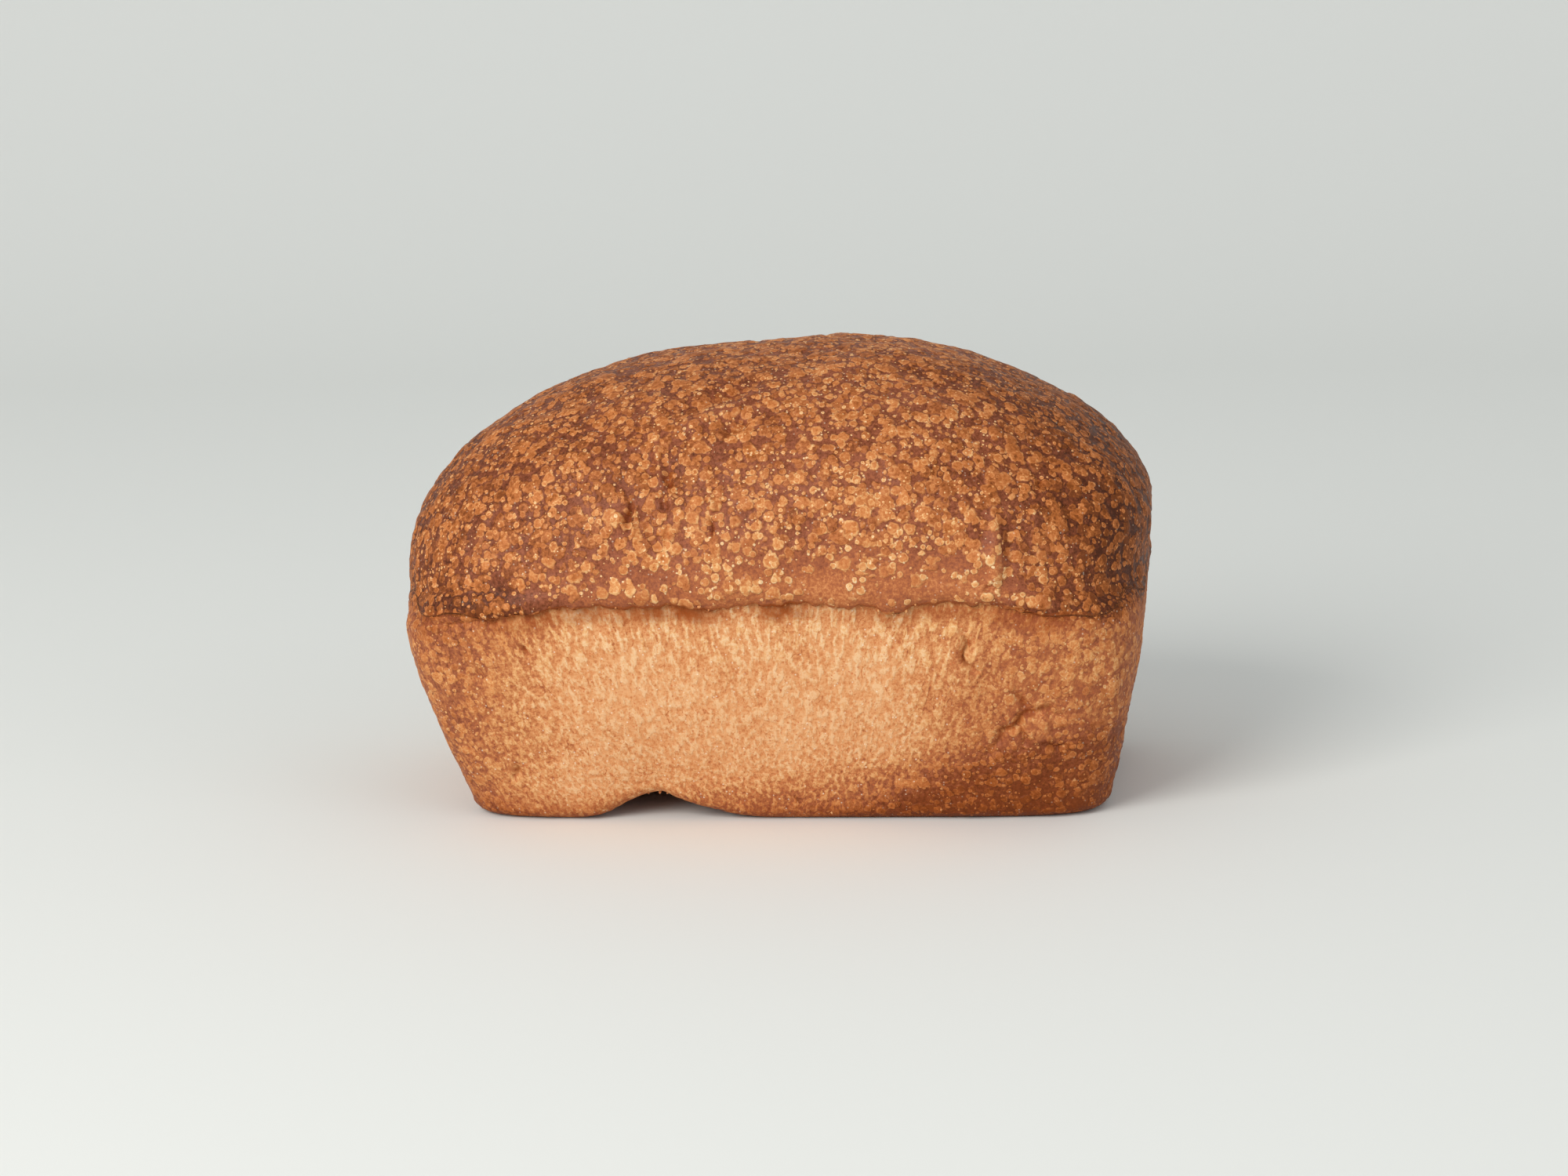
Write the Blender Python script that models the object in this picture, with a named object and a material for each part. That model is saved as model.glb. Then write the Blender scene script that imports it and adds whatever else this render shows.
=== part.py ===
"""Tin loaf: one closed solid with a flat base, flared walls, a lip that stands over them and a tall dome.

Metres, +Z up. X runs along the loaf, -Y is its front, and the middle of the base is the origin.
"""
import math
from dataclasses import dataclass

import bmesh
import bpy

# Base: the face that lay on the bottom of the tin
BASE_HALF_LENGTH = 0.100
BASE_HALF_WIDTH = 0.052
BASE_EDGE_RADIUS = 0.0052
BASE_SQUARENESS = 8.0
BASE_DRIFT = 0.0019

# Walls: pressed against the flared sides of the tin
RIM_HEIGHT = 0.0713
END_FLARE = 0.205
SIDE_FLARE = 0.194
WALL_BELLY = 0.0016
WALL_DRIFT = -0.0023
RIM_SQUARENESS = 4.8

# Lip: the dough that spread over the tin's edge
LIP_HALF_LENGTH = 0.1163
LIP_HALF_WIDTH = 0.0700
LIP_HEIGHT = 0.0775
LIP_SQUARENESS = 3.7
LIP_DRIFT = -0.0015

# Dome: the part that rose out of the tin
DOME_RISE = 0.0625
DOME_ROUNDNESS_LENGTHWAYS = 2.11
DOME_ROUNDNESS_CROSSWAYS = 2.20
CROWN_SQUARENESS = 2.2
CROWN_DRIFT = -0.0002
CROWN_TILT = 0.038
SHOULDER_DRIFT = 0.0009
SHOULDER_ANGLE = math.radians(40.0)

# Crease: it hangs lower towards the loaf's corners
CREASE_DROP = 0.0055
CREASE_DROP_START = 0.057
CREASE_DROP_RUN = 0.028
CORNER_DROP = 0.0040
CORNER_DROP_START = 0.086
CORNER_DROP_RUN = 0.026

# Right end: the dome leans out over it high up and is tucked in at the lip
END_START = 0.070
END_RUN = 0.040
END_LEAN = 0.0026
END_LEAN_HEIGHT = 0.097
END_LEAN_SPREAD = 0.013
END_TUCK = 0.0010
END_TUCK_HEIGHT = 0.075
END_TUCK_SPREAD = 0.010
END_SAG = 0.0020
END_SAG_CENTRE = 0.082
END_SAG_SPREAD = 0.024

# Hollow under the front edge, where the dough did not reach the tin's corner
ARCH_CENTRE_X = -0.035
ARCH_LEFT = 0.027
ARCH_RIGHT = 0.036
ARCH_SHARPNESS = 2.2
ARCH_HEIGHT = 0.0086
ARCH_DEPTH = 0.048
ARCH_FADE = 4.0

# Cuts of the block that is shaped into the loaf
CELLS_LENGTHWAYS = 40
CELLS_CROSSWAYS = 22
EDGE_CELLS = 3
WALL_CELLS = 8
LIP_CELLS = 3
SHOULDER_CELLS = 8

CRUST_COLOUR = (0.43, 0.165, 0.062, 1.0)
CRUST_ROUGHNESS = 0.55
SHARP_ANGLE = math.radians(50.0)
BLOCK_FACE = 0.9999
FLAT_TOLERANCE = 1.0e-7


@dataclass(frozen=True)
class Ring:
    """A level outline of the loaf: a superellipse with its own size, height and drift along X."""

    half_length: float
    half_width: float
    height: float
    squareness: float
    drift: float

    def point(self, across, along):
        """Place a point of the square outline (across, along) on this ring."""
        power = self.squareness
        reach = (abs(across) ** power + abs(along) ** power) ** (-1.0 / power)
        return (
            self.drift + self.half_length * reach * across,
            self.half_width * reach * along,
            self.height,
        )


@dataclass(frozen=True)
class Swell:
    """A soft bump (or a dent, with a negative rise) on the crust, long in one direction."""

    centre: tuple
    half_length: float
    half_width: float
    turn: float
    rise: float

    def push(self, x, z):
        """Outward push at a place of the front crust."""
        dx = x - self.centre[0]
        dz = z - self.centre[1]
        along = (dx * math.cos(self.turn) + dz * math.sin(self.turn)) / self.half_length
        across = (dz * math.cos(self.turn) - dx * math.sin(self.turn)) / self.half_width
        return self.rise * math.exp(-along * along - across * across)


# Uneven places on the front of the loaf, each at (x, z) on the crust
FRONT_SWELLS = (
    Swell((-0.014, 0.129), 0.016, 0.005, math.radians(33.0), -0.0010),
    Swell((-0.014, 0.124), 0.016, 0.005, math.radians(30.0), 0.0010),
    Swell((-0.028, 0.106), 0.012, 0.005, math.radians(-70.0), -0.0010),
    Swell((0.070, 0.086), 0.011, 0.005, math.radians(-85.0), 0.0018),
    Swell((0.061, 0.054), 0.008, 0.005, math.radians(80.0), -0.0014),
    Swell((0.079, 0.034), 0.011, 0.006, math.radians(35.0), -0.0014),
    Swell((-0.082, 0.066), 0.016, 0.005, math.radians(5.0), -0.0012),
)


def ease(share):
    """Smooth step from 0 to 1."""
    held = min(max(share, 0.0), 1.0)
    return held * held * (3.0 - 2.0 * held)


def bell(place, centre, spread):
    """Soft bump of height 1 around a centre."""
    return math.exp(-(((place - centre) / spread) ** 2))


def blend(start, end, share):
    """Value a share of the way from start to end."""
    return start + (end - start) * share


def edge_rings():
    """Rounded lower edge, from the flat base out to the wall."""
    rings = []
    for step in range(EDGE_CELLS + 1):
        turn = 0.5 * math.pi * step / EDGE_CELLS
        inset = BASE_EDGE_RADIUS * (1.0 - math.sin(turn))
        rings.append(
            Ring(
                BASE_HALF_LENGTH - inset,
                BASE_HALF_WIDTH - inset,
                BASE_EDGE_RADIUS * (1.0 - math.cos(turn)),
                BASE_SQUARENESS,
                BASE_DRIFT,
            )
        )
    return rings


def wall_rings():
    """Flared wall with a slight belly, up to the crease under the lip."""
    rings = []
    for step in range(1, WALL_CELLS + 1):
        share = step / WALL_CELLS
        belly = WALL_BELLY * math.sin(math.pi * share)
        rings.append(
            Ring(
                BASE_HALF_LENGTH + END_FLARE * RIM_HEIGHT * share + belly,
                BASE_HALF_WIDTH + SIDE_FLARE * RIM_HEIGHT * share + belly,
                blend(BASE_EDGE_RADIUS, RIM_HEIGHT, share),
                blend(BASE_SQUARENESS, RIM_SQUARENESS, share),
                blend(BASE_DRIFT, WALL_DRIFT, share),
            )
        )
    return rings


def lip_rings():
    """Underside of the lip, from the crease out to the loaf's widest outline."""
    rings = []
    start_length = BASE_HALF_LENGTH + END_FLARE * RIM_HEIGHT
    start_width = BASE_HALF_WIDTH + SIDE_FLARE * RIM_HEIGHT
    for step in range(1, LIP_CELLS + 1):
        share = step / LIP_CELLS
        reach = math.sin(0.5 * math.pi * share)
        climb = 1.0 - math.cos(0.5 * math.pi * share)
        rings.append(
            Ring(
                blend(start_length, LIP_HALF_LENGTH, reach),
                blend(start_width, LIP_HALF_WIDTH, reach),
                blend(RIM_HEIGHT, LIP_HEIGHT, climb),
                blend(RIM_SQUARENESS, LIP_SQUARENESS, share),
                blend(WALL_DRIFT, LIP_DRIFT, share),
            )
        )
    return rings


def dome_ring(angle):
    """Ring of the dome at an angle that goes from 0 at the lip to a right angle at the crown."""
    lift = min(math.sin(angle), 1.0)
    length_power = DOME_ROUNDNESS_LENGTHWAYS
    width_power = DOME_ROUNDNESS_CROSSWAYS
    return Ring(
        LIP_HALF_LENGTH * max(1.0 - lift**length_power, 0.0) ** (1.0 / length_power),
        LIP_HALF_WIDTH * max(1.0 - lift**width_power, 0.0) ** (1.0 / width_power),
        LIP_HEIGHT + DOME_RISE * lift,
        blend(LIP_SQUARENESS, CROWN_SQUARENESS, lift**0.8),
        blend(LIP_DRIFT, CROWN_DRIFT, lift * lift) + SHOULDER_DRIFT * math.sin(math.pi * lift),
    )


def shoulder_rings():
    """Lower part of the dome, above the lip."""
    return [dome_ring(SHOULDER_ANGLE * step / SHOULDER_CELLS) for step in range(1, SHOULDER_CELLS + 1)]


def side_rings():
    """All level outlines of the loaf's side, from the base to the shoulder."""
    return edge_rings() + wall_rings() + lip_rings() + shoulder_rings()


def cut_block(name, cells_up):
    """Unit block with its faces cut into a grid of cells."""
    mesh = bpy.data.meshes.new(name)
    block = bmesh.new()
    bmesh.ops.create_cube(block, size=2.0)
    cells = (CELLS_LENGTHWAYS, CELLS_CROSSWAYS, cells_up)
    for axis, count in enumerate(cells):
        normal = [0.0, 0.0, 0.0]
        normal[axis] = 1.0
        for step in range(1, count):
            place = [0.0, 0.0, 0.0]
            place[axis] = -1.0 + 2.0 * step / count
            everything = block.verts[:] + block.edges[:] + block.faces[:]
            bmesh.ops.bisect_plane(block, geom=everything, plane_co=place, plane_no=normal)
    block.to_mesh(mesh)
    block.free()
    return mesh


def crown_point(across, along):
    """Place a point of the block's top on the crown of the dome."""
    spread = max(abs(across), abs(along))
    if spread == 0.0:
        spread = 1.0e-6
        across = spread
    ring = dome_ring(math.acos(spread * math.cos(SHOULDER_ANGLE)))
    return ring.point(across / spread, along / spread)


def base_point(across, along, outline):
    """Place a point of the block's underside on the flat base."""
    spread = max(abs(across), abs(along))
    if spread == 0.0:
        return (0.0, 0.0, 0.0)
    x, y, z = outline.point(across / spread, along / spread)
    return (x * spread, y * spread, z)


def arch_rise(x, y):
    """Height of the hollow under the front edge at a place of the base."""
    leftward = (ARCH_CENTRE_X - x) / ARCH_LEFT
    rightward = (x - ARCH_CENTRE_X) / ARCH_RIGHT
    inward = (y + BASE_HALF_WIDTH) / ARCH_DEPTH
    if leftward >= 1.0 or rightward >= 1.0 or inward >= 1.0:
        return 0.0
    if leftward > 0.0:
        arc = 0.5 + 0.5 * math.cos(math.pi * leftward)
    else:
        arc = (1.0 - rightward) ** ARCH_SHARPNESS
    return ARCH_HEIGHT * arc * math.cos(0.5 * math.pi * max(inward, 0.0))


def crease_drop(x, z):
    """How much lower the crust around the crease hangs at a place of the side."""
    away = abs(x)
    drop = CREASE_DROP * ease((away - CREASE_DROP_START) / CREASE_DROP_RUN)
    drop += CORNER_DROP * ease((away - CORNER_DROP_START) / CORNER_DROP_RUN)
    if z < RIM_HEIGHT:
        return drop * (z / RIM_HEIGHT) ** 1.5
    crown = LIP_HEIGHT + DOME_RISE
    return drop * max((crown - z) / (crown - RIM_HEIGHT), 0.0) ** 3


def right_end_lean(x, z):
    """How far the right end leans out, or is tucked in, at a place of the side."""
    lean = END_LEAN * bell(z, END_LEAN_HEIGHT, END_LEAN_SPREAD)
    tuck = END_TUCK * bell(z, END_TUCK_HEIGHT, END_TUCK_SPREAD)
    return (lean - tuck) * ease((x - END_START) / END_RUN)


def uneven(x, y, z):
    """Add the dropped crease, the dome's tilt and lean, the front's bumps, and the hollow below them."""
    z -= crease_drop(x, z)
    lift = max(z - LIP_HEIGHT, 0.0) / DOME_RISE
    z += CROWN_TILT * x * lift
    x, z = x + right_end_lean(x, z), z - END_SAG * bell(x, END_SAG_CENTRE, END_SAG_SPREAD) * lift
    if y < 0.0 and z > BASE_EDGE_RADIUS:
        push = sum(swell.push(x, z) for swell in FRONT_SWELLS)
        share = min(1.0, -y / LIP_HALF_WIDTH)
        y -= push * share
        z += push * (1.0 - share)
    if z < LIP_HEIGHT:
        z += arch_rise(x, y) * max(0.0, 1.0 - z / (ARCH_FADE * ARCH_HEIGHT))
    return (x, y, z)


def shape_loaf(mesh, rings):
    """Move the block's vertices to the loaf's surface."""
    for vertex in mesh.vertices:
        across, along, up = vertex.co
        if up > BLOCK_FACE:
            place = crown_point(across, along)
        elif up < -BLOCK_FACE:
            place = base_point(across, along, rings[0])
        else:
            station = round((up + 1.0) / 2.0 * (len(rings) - 1))
            place = rings[station].point(across, along)
        vertex.co = uneven(*place)


def join_flat_base(mesh):
    """Merge the coplanar cells of the base into one flat face."""
    loaf = bmesh.new()
    loaf.from_mesh(mesh)
    flat_faces = [
        face for face in loaf.faces
        if all(abs(corner.co.z) < FLAT_TOLERANCE for corner in face.verts)
    ]
    inner_edges = [
        edge for edge in loaf.edges
        if len(edge.link_faces) == 2 and all(face in flat_faces for face in edge.link_faces)
    ]
    bmesh.ops.dissolve_edges(loaf, edges=inner_edges, use_verts=False)
    bmesh.ops.recalc_face_normals(loaf, faces=loaf.faces[:])
    loaf.to_mesh(mesh)
    loaf.free()


def centre_on_origin(mesh):
    """Put the middle of the loaf's length and width over the origin."""
    for axis in (0, 1):
        places = [vertex.co[axis] for vertex in mesh.vertices]
        middle = 0.5 * (min(places) + max(places))
        for vertex in mesh.vertices:
            vertex.co[axis] -= middle


def crust_material():
    """Browned crust."""
    material = bpy.data.materials.new("crust")
    material.use_nodes = True
    shader = material.node_tree.nodes["Principled BSDF"]
    shader.inputs["Base Color"].default_value = CRUST_COLOUR
    shader.inputs["Roughness"].default_value = CRUST_ROUGHNESS
    shader.inputs["Metallic"].default_value = 0.0
    return material


def build_loaf(collection):
    """Shape the loaf out of a cut block and add it to the collection."""
    rings = side_rings()
    mesh = cut_block("loaf", len(rings) - 1)
    shape_loaf(mesh, rings)
    join_flat_base(mesh)
    centre_on_origin(mesh)
    mesh.materials.append(crust_material())
    mesh.shade_smooth()
    mesh.set_sharp_from_angle(angle=SHARP_ANGLE)
    loaf = bpy.data.objects.new("loaf", mesh)
    collection.objects.link(loaf)
    return loaf


def main():
    """Clear the scene and build the loaf."""
    for old in list(bpy.data.objects):
        bpy.data.objects.remove(old)
    collection = bpy.data.collections.new("tin_loaf")
    bpy.context.scene.collection.children.link(collection)
    build_loaf(collection)


main()
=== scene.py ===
"""Tin loaf: the browned, blistered look of a whole tin-baked loaf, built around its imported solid.

Metres, +Z up. X runs along the loaf and -Y is its front. The loaf's skin is modelled as one piece, which
replaces the solid in the picture, and its crumbs are a piece of their own.
"""

import logging
import math
from dataclasses import dataclass
from enum import Enum

import bmesh
import bpy
import numpy as np
from mathutils import Euler, Matrix, Vector


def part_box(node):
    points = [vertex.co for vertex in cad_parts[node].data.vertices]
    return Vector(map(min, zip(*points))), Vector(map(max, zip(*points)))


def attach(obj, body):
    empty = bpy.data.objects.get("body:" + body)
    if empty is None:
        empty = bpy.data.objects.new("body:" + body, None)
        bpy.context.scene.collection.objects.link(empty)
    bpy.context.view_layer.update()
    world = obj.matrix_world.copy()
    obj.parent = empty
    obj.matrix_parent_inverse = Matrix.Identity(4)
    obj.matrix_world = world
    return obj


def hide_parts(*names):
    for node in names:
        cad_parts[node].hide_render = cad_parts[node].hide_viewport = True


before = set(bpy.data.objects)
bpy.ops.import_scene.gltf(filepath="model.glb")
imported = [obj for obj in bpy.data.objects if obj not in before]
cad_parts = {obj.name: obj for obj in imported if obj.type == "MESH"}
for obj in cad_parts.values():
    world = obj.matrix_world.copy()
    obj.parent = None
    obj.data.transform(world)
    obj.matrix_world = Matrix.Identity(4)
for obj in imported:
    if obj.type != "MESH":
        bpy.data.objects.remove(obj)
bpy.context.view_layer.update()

MM = 0.001
LOG = logging.getLogger("tin_loaf")
Socket = bpy.types.NodeSocket
NOTHING = 1.0e-6
FLATNESS = 1.0e-4


class Mark(str, Enum):
    """Values painted on the skin's vertices, by the name of their attribute."""

    PLACE = "place"
    DOME = "dome"
    BAKE = "bake"
    # Painted shade under the lip, in the grooves and at the lower right corner, with the darker crust round
    # the base.
    CREASE = "crease"
    BLISTER = "blister"


# ---------------------------------------------------------------- node helpers


class Weave:
    """A short way to write node networks, in a shader tree or in a geometry tree."""

    def __init__(self, tree: bpy.types.NodeTree) -> None:
        """Keep the tree that the nodes go in."""
        self.tree = tree

    def add(self, kind: str, **settings: object) -> bpy.types.Node:
        """Add a node.

        Args:
            kind: The node's type name.
            settings: Properties to set on the node.

        Returns:
            The new node.
        """
        node = self.tree.nodes.new(kind)
        for name, value in settings.items():
            setattr(node, name, value)
        return node

    def feed(self, socket: Socket, value: object) -> None:
        """Link an output to a socket, or set the socket's own value."""
        if isinstance(value, Socket):
            self.tree.links.new(value, socket)
        else:
            socket.default_value = value

    def math(self, operation: str, first: object, second: object = 0.0) -> Socket:
        """Add a Math node of two values and return its result."""
        node = self.add("ShaderNodeMath", operation=operation)
        self.feed(node.inputs[0], first)
        self.feed(node.inputs[1], second)
        return node.outputs[0]

    def vector(self, operation: str, first: object, second: object) -> Socket:
        """Add a Vector Math node and return its vector."""
        node = self.add("ShaderNodeVectorMath", operation=operation)
        self.feed(node.inputs[0], first)
        if operation == "SCALE":
            self.feed(node.inputs["Scale"], second)
        else:
            self.feed(node.inputs[1], second)
        return node.outputs[0]

    def split(self, value: object) -> tuple:
        """Split a vector into its three parts."""
        node = self.add("ShaderNodeSeparateXYZ")
        self.feed(node.inputs[0], value)
        return tuple(node.outputs)

    def join(self, x: object, y: object, z: object) -> Socket:
        """Join three numbers into a vector."""
        node = self.add("ShaderNodeCombineXYZ")
        for socket, value in zip(node.inputs, (x, y, z)):
            self.feed(socket, value)
        return node.outputs[0]

    def clamp(self, value: object) -> Socket:
        """Hold a value between 0 and 1."""
        return self.scale_add(value, 1.0, 0.0, clamp=True)

    def scale_add(self, value: object, factor: object, plus: object, clamp: bool = False) -> Socket:
        """Multiply a value and add to it."""
        node = self.add("ShaderNodeMath", operation="MULTIPLY_ADD", use_clamp=clamp)
        for socket, entry in zip(node.inputs, (value, factor, plus)):
            self.feed(socket, entry)
        return node.outputs[0]

    def step(self, value: object, low: object, high: object, start: float = 0.0, end: float = 1.0) -> Socket:
        """Add a smooth Map Range from low..high to start..end and return its result."""
        node = self.add("ShaderNodeMapRange", interpolation_type="SMOOTHSTEP")
        names = ("Value", "From Min", "From Max", "To Min", "To Max")
        for name, entry in zip(names, (value, low, high, start, end)):
            self.feed(node.inputs[name], entry)
        return node.outputs[0]

    def noise(self, place: object, size: float, detail: float, rough: float, shift: float) -> bpy.types.Node:
        """Add a Noise Texture.

        Args:
            place: Where it is read, in metres.
            size: About how wide its features are, in metres.
            detail: How many finer layers it has.
            rough: How strong the finer layers are.
            shift: How far it is moved, so that no two patterns are alike.

        Returns:
            The node.
        """
        node = self.add("ShaderNodeTexNoise")
        self.feed(node.inputs["Vector"], self.vector("ADD", place, (shift, shift * 0.7, -shift * 0.4)))
        node.inputs["Scale"].default_value = 1.0 / size
        node.inputs["Detail"].default_value = detail
        node.inputs["Roughness"].default_value = rough
        return node

    def blend(self, share: object, first: object, second: object) -> Socket:
        """Add a colour Mix and return its colour."""
        node = self.add("ShaderNodeMix", data_type="RGBA")
        self.feed(node.inputs["Factor"], share)
        self.feed(node.inputs[6], first)
        self.feed(node.inputs[7], second)
        return node.outputs[2]

    def lerp(self, share: object, first: object, second: object) -> Socket:
        """Add a number Mix and return its result."""
        node = self.add("ShaderNodeMix", data_type="FLOAT")
        self.feed(node.inputs["Factor"], share)
        self.feed(node.inputs[2], first)
        self.feed(node.inputs[3], second)
        return node.outputs[0]

    def ramp(self, value: object, stops: tuple) -> Socket:
        """Add a Color Ramp with (position, colour) stops and return its colour."""
        node = self.add("ShaderNodeValToRGB")
        marks = node.color_ramp.elements
        marks[0].position, marks[0].color = stops[0]
        marks[1].position, marks[1].color = stops[-1]
        for position, colour in stops[1:-1]:
            marks.new(position).color = colour
        self.feed(node.inputs[0], value)
        return node.outputs[0]


def ease(share: np.ndarray) -> np.ndarray:
    """Smooth step from 0 to 1."""
    held = np.clip(share, 0.0, 1.0)
    return held * held * (3.0 - 2.0 * held)


@dataclass(frozen=True)
class Rise:
    """A smooth climb from 0 to a height, which starts at one value and runs on from there."""

    start: float
    run: float
    height: float = 1.0

    def at(self, value: np.ndarray) -> np.ndarray:
        """Work out how far the climb has come at some values."""
        return self.height * ease((value - self.start) / self.run)


@dataclass(frozen=True)
class Bell:
    """A bell curve: where its middle is, how wide it is and how high."""

    middle: float
    width: float
    height: float = 1.0

    def at(self, value: np.ndarray) -> np.ndarray:
        """Work out how high the bell is at some values."""
        return self.height * np.exp(-(((value - self.middle) / self.width) ** 2))


@dataclass(frozen=True)
class Wave:
    """Sines added up, each given as its height, its length over a radian and its shift."""

    sines: tuple

    def at(self, value: np.ndarray) -> np.ndarray:
        """Work out the sum at some values."""
        return sum(height * np.sin(value / length + shift) for height, length, shift in self.sines)


def tone(red: float, green: float, blue: float) -> tuple:
    """Turn a colour as seen on a screen, 0 to 255, into the linear colour that shaders use."""
    linear = []
    for part in (red, green, blue):
        share = part / 255.0
        linear.append(share / 12.92 if share <= 0.04045 else ((share + 0.055) / 1.055) ** 2.4)
    return (*linear, 1.0)


def store_marks(mesh: bpy.types.Mesh, places: np.ndarray, values: dict) -> None:
    """Store painted values on a mesh's vertices.

    Args:
        mesh: The mesh.
        places: Where on the crust each vertex is, for its pattern.
        values: The numbers of each vertex, by mark.
    """
    for mark, numbers in values.items():
        layer = mesh.attributes.new(mark.value, "FLOAT", "POINT")
        layer.data.foreach_set("value", numbers.astype(np.float32))
    layer = mesh.attributes.new(Mark.PLACE.value, "FLOAT_VECTOR", "POINT")
    layer.data.foreach_set("vector", places.astype(np.float32).ravel())


# ---------------------------------------------------------------- relief patterns


@dataclass(frozen=True)
class DiscLayer:
    """One size of blister: round caps scattered over the crust, some of them sunk in the middle."""

    cell: float
    radius: float
    share: float
    wobble: float
    height: float
    pale: float
    faint: float
    seed: float


@dataclass(frozen=True)
class BlisterPattern:
    """Blisters of several sizes, the largest first, as relief and as masks."""

    layers: tuple = (
        DiscLayer(4.3 * MM, 2.35 * MM, 0.92, 1.30 * MM, 1.00, 0.34, 0.55, 0.31),
        DiscLayer(3.1 * MM, 1.60 * MM, 0.82, 0.80 * MM, 0.90, 0.44, 0.45, 1.73),
        DiscLayer(2.2 * MM, 0.98 * MM, 0.56, 0.34 * MM, 0.70, 0.58, 0.30, 3.11),
        DiscLayer(1.6 * MM, 0.60 * MM, 0.26, 0.13 * MM, 0.50, 0.84, 0.15, 5.57),
        DiscLayer(1.0 * MM, 0.30 * MM, 0.20, 0.05 * MM, 0.25, 1.10, 0.00, 7.93),
    )
    size_range: float = 0.60
    tint_range: float = 0.50
    rim_gain: float = 0.42
    rim_patches: float = 2.2 * MM
    pit_loss: float = 0.45
    pit_depth: float = 0.5
    crowding: float = 9.0 * MM
    crowd_gain: float = 1.7
    crowd_least: float = 0.12

    def scatter(self, weave: Weave, place: object, layer: DiscLayer) -> tuple:
        """Scatter the blisters of one layer.

        Args:
            weave: The tree to build in.
            place: Where on the crust, in metres.
            layer: The blisters' size and looks.

        Returns:
            How far a place is from its blister's middle, over the blister's radius, and the blister's three
            chances between 0 and 1: whether it is there, its size and its paleness.
        """
        wander = weave.noise(place, layer.radius * 1.5, 2.0, 0.6, layer.seed)
        shake = weave.vector("SUBTRACT", wander.outputs["Color"], (0.5, 0.5, 0.5))
        shaken = weave.vector("ADD", place, weave.vector("SCALE", shake, layer.wobble * 2.0))
        cells = weave.add("ShaderNodeTexVoronoi", feature="F1", distance="EUCLIDEAN")
        shift = (layer.seed, -layer.seed, 0.5 * layer.seed)
        weave.feed(cells.inputs["Vector"], weave.vector("ADD", shaken, shift))
        cells.inputs["Scale"].default_value = 1.0 / layer.cell
        cells.inputs["Randomness"].default_value = 1.0
        chance = weave.split(cells.outputs["Color"])
        reach = layer.radius / layer.cell
        least = (1.0 - 0.5 * self.size_range) * reach
        radius = weave.scale_add(chance[1], self.size_range * reach, least)
        return weave.math("DIVIDE", cells.outputs["Distance"], radius), chance

    def build(self, weave: Weave, place: object, density: object) -> dict:
        """Lay the pattern down in a tree.

        Args:
            weave: The tree to build in.
            place: Where on the crust, in metres.
            density: How blistered it is there, 0 to 1.

        Returns:
            The outputs by name: cover, how pale the blister is, and lift.
        """
        cover, pale, lift = 0.0, 0.5, 0.0
        crowd = weave.noise(place, self.crowding, 2.0, 0.5, 6.1).outputs[0]
        crowd = weave.scale_add(crowd, self.crowd_gain, self.crowd_least, clamp=True)
        density = weave.math("MULTIPLY", density, crowd)
        broken = weave.noise(place, self.rim_patches, 2.0, 0.6, 8.3).outputs[0]
        broken = weave.step(broken, 0.38, 0.62, 0.25, 1.0)
        for layer in self.layers:
            spread, chance = self.scatter(weave, place, layer)
            limit = weave.math("MULTIPLY", density, layer.share)
            kept = weave.step(chance[0], limit, weave.math("ADD", limit, -0.05))
            disc = weave.math("MULTIPLY", weave.step(spread, 1.0, 0.84), kept)
            ring = weave.math("MULTIPLY", weave.step(spread, 0.55, 0.78), weave.step(spread, 1.02, 0.90))
            edge = weave.math("MULTIPLY", weave.math("MULTIPLY", ring, broken), self.rim_gain)
            sunk = weave.math("MULTIPLY", weave.step(chance[2], 0.80, 0.90), weave.step(spread, 0.34, 0.10))
            tint = weave.scale_add(chance[2], self.tint_range, layer.pale - 0.5 * self.tint_range)
            tint = weave.math("ADD", tint, edge)
            tint = weave.math("SUBTRACT", tint, weave.math("MULTIPLY", sunk, self.pit_loss))
            strength = weave.scale_add(chance[2], layer.faint, 1.0 - layer.faint)
            pale = weave.lerp(disc, pale, tint)
            cover = weave.lerp(disc, cover, weave.math("MAXIMUM", cover, strength))
            cap = weave.math("MULTIPLY", weave.step(spread, 1.03, 0.74), kept)
            cap = weave.math("SUBTRACT", cap, weave.math("MULTIPLY", sunk, self.pit_depth))
            lift = weave.math("MAXIMUM", lift, weave.math("MULTIPLY", cap, layer.height))
        return {"cover": cover, "pale": pale, "lift": lift}


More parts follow.
